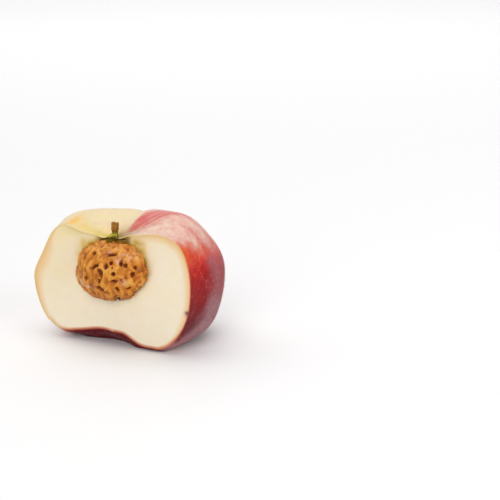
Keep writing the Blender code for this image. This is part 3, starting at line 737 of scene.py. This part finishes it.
def makeFlesh(points, faces, way, normals, loop, material):
    outer = inward(points, normals, loop, peel["fleshUnder"])
    edge = outer[loop]
    middle = np.array([0.0, 0.0, stone["height"]])
    angle = np.arctan2(edge[:, 2] - middle[2], edge[:, 0] - middle[0])
    turning = np.diff(np.unwrap(angle))
    print("outline seen from the stone turns one way:", bool(np.all(turning > 0) or np.all(turning < 0)))
    spoke = np.stack([np.cos(angle), 0 * angle, np.sin(angle)], -1)
    socket = middle + spoke * socketReach(angle)[:, None]
    length = np.linalg.norm(edge - socket, axis=1)
    rings, back = flesh["rings"], flesh["socketRings"]
    layers = [outer]
    for ring in range(1, rings + 1):  # the cut, from the skin to the stone
        share = 0.5 - 0.5 * math.cos(math.pi * ring / rings)
        row = edge + (socket - edge) * share
        fromSkin = length * share
        fromStone = length * (1 - share)
        row[:, 1] = (-flesh["bulge"] * (1 - np.exp(-fromSkin / flesh["bulgeRun"]))
                     + flesh["curl"] * np.exp(-fromStone / flesh["curlRun"])
                     - flesh["torn"] * smooth(noiseAt(row, 0.9, 23), -0.2, 0.6) * bell(fromStone, 0.7, 0.8)
                     + flesh["wave"] * noiseAt(row, 7.0, 8) * smooth(fromSkin, 0, 1))
        layers.append(row)
    deep = stone["half"][1] + stone["gap"]
    for ring in range(1, back):  # the socket behind the stone
        lean = math.pi / 2 * ring / back
        row = middle + (layers[rings] - middle) * [math.cos(lean), 0, math.cos(lean)]
        row[:, 1] = flesh["curl"] + deep * math.sin(lean)
        layers.append(row)
    layers.append((middle + [0, deep, 0])[None, :])
    whole = np.vstack(layers)
    count = len(loop)
    total = len(outer)
    quads = []
    upper = np.array(loop)
    for ring in range(rings + back - 1):
        lower = total + ring * count + np.arange(count)
        quads += zip(upper, np.roll(upper, -1), np.roll(lower, -1), lower)
        upper = lower
    quads += [(a, b, len(whole) - 1) for a, b in zip(upper, np.roll(upper, -1))]
    zones = fleshZones(whole, slice(total, total + rings * count), edge, socket,
                       skinZones(points, way)["red"][loop])
    return faceOut(makeObject("flesh", whole, faces + quads, material, zones))


def tubeFaces(rows, count):  # a closed skin over rows of points, with one point more at each end
    faces = []
    top = (rows - 1) * count
    for a in range(0, top, count):
        b = a + count
        for step in range(count):
            beside = (step + 1) % count
            faces.append((a + step, a + beside, b + beside, b + step))
    for step in range(count):
        beside = (step + 1) % count
        faces.append((rows * count, beside, step))
        faces.append((top + step, top + beside, rows * count + 1))
    return faces


stalk = {
    "radius": 1.28, "top": 45.3, "lean": 0.3, "footAside": 2.2, "cleft": 0.9, "foot": 38.2,
    "around": 56, "along": 90, "bark": 0.07,
    "footRings": (0.3, 0.65), "tipRings": (0.93, 0.8, 0.6, 0.4, 0.2),  # close the two ends
    # thickness by the way up it
    "profile": ((0.0, 1.7), (0.2, 1.65), (0.3, 1.45), (0.38, 1.12), (0.44, 0.84), (0.5, 0.8),
                (0.58, 0.96), (0.7, 1.06), (0.82, 1.0), (0.92, 1.08), (1.0, 0.86)),
    "barkGrain": 0.556,  # mm, the bark's ridges, about twice the real ones so that they show
    "colours": ((0.3, "#b0a818"), (0.54, "#ccc030"), (0.62, "#8e7a20"), (0.72, "#8e5e14"), (1.0, "#a87020")),
    "furrow": "#46300c",
}


def stalkMaterial():  # dry bark at the tip, still green where it stands in the cavity
    material, tree, place, zone = startMaterial("dryBark", {
        "Roughness": 0.72, "Specular IOR Level": 0.3}, ("rise",))
    stretched = addNode(tree, "Mapping", {0: place, 3: (1.0, 1.0, 0.3)})
    bark = addNode(tree, "TexNoise", {
        "Vector": stretched, "Scale": perMetre(stalk["barkGrain"]), "Detail": 4.0})
    spread = addNode(tree, "Math", (bark, 0.3, zone["rise"]), operation="MULTIPLY_ADD")
    colour = addNode(tree, "ValToRGB", (spread,), stops=stalk["colours"])
    dark = addNode(tree, "MapRange", (bark, 0.38, 0.6, 0.6, 0.0))
    return finishMaterial(material, layColours(tree, colour, [(dark, stalk["furrow"])]), bark, 0.6)


def makeStalk(material):
    turn = evenTurns(stalk["around"])
    rows = [(0.0, inner) for inner in stalk["footRings"]]
    rows += [(k / stalk["along"], 1.0) for k in range(stalk["along"] + 1)]
    rows += [(1.0, inner) for inner in stalk["tipRings"]]
    layers = []
    for share, inner in rows:
        thick = stalk["radius"] * lookUp(stalk["profile"], share)[0]
        radius = thick * inner * (1 + 0.07 * np.sin(3 * turn + 2.5 * share))
        x = radius * np.cos(turn)
        y = radius * np.sin(turn)
        dip = stalk["cleft"] * bell(x, 0.1, 0.45) * smooth(share, 0.82, 1.0)
        z = (stalk["foot"] + (stalk["top"] - stalk["foot"]) * share - dip
             + 0.12 * smooth(share, 0.8, 1) * np.sin(2 * turn + 1))
        across = stalk["lean"] * share ** 2 - stalk["footAside"] * (1 - min(share / 0.45, 1))
        layers.append(np.stack([fruit["axisX"] + x + across, fruit["axisY"] + y, z], -1))
    points = np.vstack(layers)
    rough = stalk["bark"] * (noiseAt(points * [1, 1, 0.35], 0.5, 2) + 0.6 * noiseAt(points, 0.25, 3))
    away = points[:, :2] - [fruit["axisX"], fruit["axisY"]]
    points[:, :2] += away / np.maximum(np.linalg.norm(away, axis=1)[:, None], 0.3) * rough[:, None]
    points[:, 2] += rough * 0.5
    ends = [layer.mean(0) for layer in (points[:len(turn)], points[-len(turn):])]
    rise = np.append(np.repeat([share for share, inner in rows], len(turn)), [0.0, 1.0])
    return faceOut(makeObject("stalk", np.vstack([points, *ends]), tubeFaces(len(rows), len(turn)), material,
                              {"rise": rise}, sharp=70.0))


collar = {
    # place along the cut, height of its middle, half height, how far it stands out of the cut
    "spine": (
        (-5.3, 38.6, 0.1, 0.2), (-4.2, 39.0, 0.6, 0.6), (-2.0, 39.2, 0.85, 0.8), (0.5, 39.4, 0.8, 0.8),
        (2.2, 39.7, 0.45, 0.6), (3.0, 39.9, 0.24, 0.5), (5.0, 40.1, 0.26, 0.5), (6.8, 40.3, 0.1, 0.2)),
    "along": 90, "around": 20, "rough": 0.24, "behind": 0.15,
    "threadRadius": 0.16, "threadSteps": 24,
    "threadPath": ((1.0, 1.8, 42.2), (1.9, 0.9, 41.2), (2.2, 0.1, 40.3), (2.2, -0.4, 39.4)),
    "crustGrain": 0.625,  # mm, crumbs of the crust
    "colours": ((0.12, "#3a2808"), (0.32, "#5e460c"), (0.6, "#7e6c12"), (1.0, "#968c20")),
}


def collarMaterial():  # dry crust where the stalk was joined: nearly black at its edge, dull green inside
    material, tree, place, zone = startMaterial("dryCrust", {
        "Roughness": 0.85, "Specular IOR Level": 0.1}, ("fresh",))
    rough = addNode(tree, "TexNoise", {
        "Vector": place, "Scale": perMetre(collar["crustGrain"]), "Detail": 3.0})
    much = addNode(tree, "Math", (rough, 0.35, zone["fresh"]), operation="MULTIPLY_ADD", use_clamp=True)
    colour = addNode(tree, "ValToRGB", (much,), stops=collar["colours"])
    return finishMaterial(material, colour, rough, 0.5)


def makeCollar(material):
    turn = evenTurns(collar["around"])
    first, last = collar["spine"][0][0], collar["spine"][-1][0]
    x = np.linspace(first, last, collar["along"])
    middle, half, depth = (column[:, None] for column in lookUp(collar["spine"], x))
    out = collar["behind"] - depth * np.cos(turn)
    crust = np.stack([x[:, None] + 0 * turn, out, middle + half * np.sin(turn)], -1)
    crust = np.vstack([crust.reshape(-1, 3), crust[0].mean(0), crust[-1].mean(0)])
    spine = lookUp(collar["spine"], crust[:, 0])[0]
    fresh = 0.62 * bell(crust[:, 0], -1.8, 2.8) * bell(crust[:, 2] - spine, -0.2, 0.4)
    away = np.stack([0 * spine, crust[:, 1] - collar["behind"], crust[:, 2] - spine], -1)
    rough = collar["rough"] * (2 * noiseAt(crust, 0.7, 31) + noiseAt(crust, 0.3, 32))
    crust = crust + away * rough[:, None]
    path = np.array(collar["threadPath"])
    knots = np.arange(len(path))
    share = np.linspace(0, knots[-1], collar["threadSteps"])
    line = np.stack([np.interp(share, knots, column) for column in path.T], -1)
    ring = collar["threadRadius"] * np.stack([np.cos(turn), np.sin(turn), 0 * turn], -1)
    thread = (line[:, None, :] + ring[None]).reshape(-1, 3)
    thread = np.vstack([thread, line[:1] + [0, 0, 0.05], line[-1:] - [0, 0, 0.05]])
    faces = tubeFaces(len(x), len(turn))
    faces += [tuple(k + len(crust) for k in face) for face in tubeFaces(len(line), len(turn))]
    return faceOut(makeObject("collar", np.vstack([crust, thread]), faces, material,
                              {"fresh": np.append(fresh, np.full(len(thread), 0.1))}))


def hairTree(name, inputs, material):  # tapering hairs scattered on the faces they grow from
    tree = bpy.data.node_groups.new(name, "GeometryNodeTree")
    for way in ("INPUT", "OUTPUT"):
        tree.interface.new_socket("Geometry", in_out=way, socket_type="NodeSocketGeometry")
    for label, value in inputs.items():
        kind = "NodeSocketInt" if isinstance(value, int) else "NodeSocketFloat"
        tree.interface.new_socket(label, in_out="INPUT", socket_type=kind)
    given = addNode(tree, "NodeGroupInput").outputs
    height = addNode(tree, "SeparateXYZ", (addNode(tree, "GeometryNodeInputPosition"),))
    clear = addNode(tree, "FunctionNodeCompare", (height.outputs[2], given["Ground clearance"]),
                    operation="GREATER_THAN")
    spread = addNode(tree, "GeometryNodeDistributePointsOnFaces", {
        "Mesh": given["Geometry"], "Selection": clear, "Density": given["Hairs per square metre"],
        "Seed": given["Seed"]})
    hair = addNode(tree, "GeometryNodeMeshCone", {
        "Vertices": given["Sides"], "Radius Top": 0.0, "Radius Bottom": given["Root radius"],
        "Depth": given["Length"]})
    tilt, spin, size = (addNode(tree, "FunctionNodeRandomValue", {2: least, 3: most, "Seed": seed}).outputs[1]
                        for least, most, seed in ((0.0, given["Lean"], given["Seed"]),
                                                  (0.0, 2 * math.pi, 91), (0.45, 1.2, 92)))
    lean = addNode(tree, "CombineXYZ", {0: tilt, 2: spin})
    bend = addNode(tree, "FunctionNodeRotateRotation", (spread.outputs["Rotation"], lean),
                   rotation_space="LOCAL")
    placed = addNode(tree, "GeometryNodeInstanceOnPoints", {
        "Points": spread.outputs["Points"], "Instance": hair, "Rotation": bend, "Scale": size})
    real = addNode(tree, "GeometryNodeRealizeInstances", (placed,))
    dressed = addNode(tree, "GeometryNodeSetMaterial", {"Geometry": real, "Material": material})
    addNode(tree, "NodeGroupOutput", (dressed,))
    return tree


def growHairs(name, points, faces, kind, material):  # runs the tree, and keeps a plain mesh
    source = makeObject(name + "Source", points, faces)
    inputs = {"Hairs per square metre": kind["perSquareMm"] / mm ** 2, "Length": kind["length"] * mm,
              "Root radius": kind["radius"] * mm, "Lean": math.radians(kind["lean"]),
              "Sides": kind["sides"], "Seed": kind["seed"], "Ground clearance": kind["clearance"] * mm}
    step = source.modifiers.new(name, "NODES")
    step.node_group = hairTree(name + "Tree", inputs, material)
    for item in step.node_group.interface.items_tree:
        if item.in_out == "INPUT" and item.name in inputs:
            step[item.identifier] = inputs[item.name]
    bpy.context.view_layer.update()
    grown = source.evaluated_get(bpy.context.evaluated_depsgraph_get())
    mesh = bpy.data.meshes.new_from_object(grown)
    mesh.name = name
    bpy.data.objects.remove(source)
    return addObject(name, mesh)


# as long as real down, but thicker and far fewer, so that it shows
down = {"perSquareMm": 6.2, "length": 0.5, "radius": 0.016, "lean": 25.0, "sides": 3, "seed": 3,
        "clearance": 1.2, "colour": "#f0d6cc"}


def downMaterial():  # short pale hairs, which give the skin its velvet edge
    return plainMaterial("paleDown", {
        "Base Color": down["colour"], "Roughness": 0.6, "Specular IOR Level": 0.2, "Alpha": 0.3})


# torn strings round the lower edge of the stone: first and last angle in degrees, from the right
fibres = {"perSquareMm": 5.0, "length": 1.3, "radius": 0.22, "lean": 60.0, "sides": 5, "seed": 11,
          "clearance": 0.0, "first": 195, "last": 320, "out": (-1.4, -0.1), "steps": 40, "cloud": 1.43,
          "colours": ((0.35, "#6e4216"), (0.5, "#98642c"), (0.65, "#c69450"))}


def fibreMaterial():  # torn strings of flesh that stay on the stone
    material, tree, place, _ = startMaterial("wetFibre", {"Roughness": 0.4, "Specular IOR Level": 0.5})
    cloud = addNode(tree, "TexNoise", {"Vector": place, "Scale": perMetre(fibres["cloud"]), "Detail": 2.0})
    colour = addNode(tree, "ValToRGB", (cloud,), stops=fibres["colours"])
    fill(tree, tree.nodes["Principled BSDF"], {"Base Color": colour})
    return material


def makeFibres(material):
    steps = fibres["steps"]
    angle = np.radians(np.linspace(fibres["first"], fibres["last"], steps))
    reach = socketReach(np.radians(turnBetween(np.degrees(angle), 0))) * 0.98
    rows = [np.stack([reach * np.cos(angle), 0 * angle + y, stone["height"] + reach * np.sin(angle)], -1)
            for y in fibres["out"]]
    faces = [(k, k + steps, k + steps + 1, k + 1) for k in range(steps - 1)]
    return growHairs("fibres", np.vstack(rows), faces, fibres, material)


view = {
    "azimuth": 27.0, "elevation": 14.0,  # degrees, the way the camera looks
    "lens": 100.0, "sensor": 36.0,  # mm
    "position": (260.8, -404.1, 155.0),  # mm, in the fruit's own frame
}


def setCamera():
    turn = math.radians(view["azimuth"])
    rise = math.radians(view["elevation"])
    back = Vector((math.sin(turn) * math.cos(rise), -math.cos(turn) * math.cos(rise), math.sin(rise)))
    right = Vector((math.cos(turn), math.sin(turn), 0))
    data = bpy.data.cameras.new("photoCamera")
    data.lens = view["lens"]
    data.sensor_width = view["sensor"]
    data.clip_start = 0.01
    camera = addObject("photoCamera", data)
    axes = Matrix((right, back.cross(right), back)).transposed().to_4x4()
    place = Vector(view["position"]) * mm + Vector(rowShift)
    camera.matrix_world = Matrix.Translation(place) @ axes
    bpy.context.scene.camera = camera


lighting = {
    "world": "#ffffff", "worldStrength": 0.1, "backdropStrength": 0.92,
    # wide banks: the side each shines from, strength, angle (degrees)
    "banks": (
        ((-0.3, 0.6, 0.7), 1.15, 90.0), ((0.2, -0.85, 0.5), 1.42, 40.0),
        ((0.0, 0.0, 1.0), 1.1, 60.0), ((-0.85, 0.0, 0.55), 0.62, 60.0)),
    # softboxes: place, the point each looks at, size (m), watts; at the right, and over the far floor
    "softboxes": (
        ((0.75, -0.1, 0.35), (0, 0, 0), 0.5, 2.3), ((-0.5, 1.1, 0.9), (-0.5, 1.3, 0), 1.0, 2.2)),
    "floor": "#ecebeb", "floorSize": 12.0,
}


def addLight(name, kind, settings, shineTo, place=(0, 0, 0)):
    light = bpy.data.lights.new(name, kind)
    for label, value in settings.items():
        setattr(light, label, value)
    lamp = addObject(name, light)
    lamp.location = place
    lamp.rotation_euler = shineTo.to_track_quat("-Z", "Y").to_euler()


def setStage():
    scene = bpy.context.scene
    scene.view_settings.view_transform = "Standard"
    scene.world = bpy.data.worlds.new("studio")
    scene.world.use_nodes = True
    tree = scene.world.node_tree
    # seen past the floor the backdrop is nearly white, as a light source it stays weak
    seen = addNode(tree, "LightPath").outputs["Is Camera Ray"]
    glow = addNode(tree, "MapRange", {0: seen, 3: lighting["worldStrength"], 4: lighting["backdropStrength"]})
    fill(tree, tree.nodes["Background"], (lighting["world"], glow))
    for way, strength, angle in lighting["banks"]:
        addLight("bank", "SUN", {"energy": strength, "angle": math.radians(angle)}, -Vector(way))
    for place, target, size, watts in lighting["softboxes"]:
        addLight("softbox", "AREA", {"size": size, "energy": watts}, Vector(target) - Vector(place), place)
    reach = lighting["floorSize"] / 2
    mesh = bpy.data.meshes.new("floor")
    mesh.from_pydata([(-reach, -reach, 0), (reach, -reach, 0), (reach, reach, 0), (-reach, reach, 0)],
                     [], [(0, 1, 2, 3)])
    mesh.materials.append(plainMaterial("whiteBoard", {  # matt white card, which hardly mirrors the fruit
        "Base Color": lighting["floor"], "Roughness": 0.55, "Specular IOR Level": 0.2}))
    addObject("floor", mesh)


skinGrid, skinFaces, skinWays = wholeSkin()
skinGrid = addWaves(skinGrid, skinFaces, skinWays)
cut = halve(skinGrid, skinFaces, skinWays)
print("skin cut, points round the edge:", len(cut[4]))
low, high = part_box("fruit")
leftEnd, rightEnd = cut[0][:, 0].min(), cut[0][:, 0].max()
rowShift = np.array([(low.x + high.x) / 2 - (leftEnd + rightEnd) / 2 * mm, low.y, 0.0])
stoneMiddle = rowShift + np.array([0, 0, stone["height"] * mm])
print("row shift (mm):", np.round(rowShift / mm, 3))

setCamera()
setStage()
print("camera and stage set")
dress(makePeel(*cut, skinMaterial()), "skin", "fruit")
dress(makeFlesh(*cut, fleshMaterial()), "flesh", "fruit")
dress(makeStone(stoneMaterial()), "stone", "stone")
dress(makeStalk(stalkMaterial()), "stalk", "stem")
dress(makeCollar(collarMaterial()), "stalk")
dress(growHairs("down", cut[0], cut[1], down, downMaterial()), "down")
dress(makeFibres(fibreMaterial()), "stone")
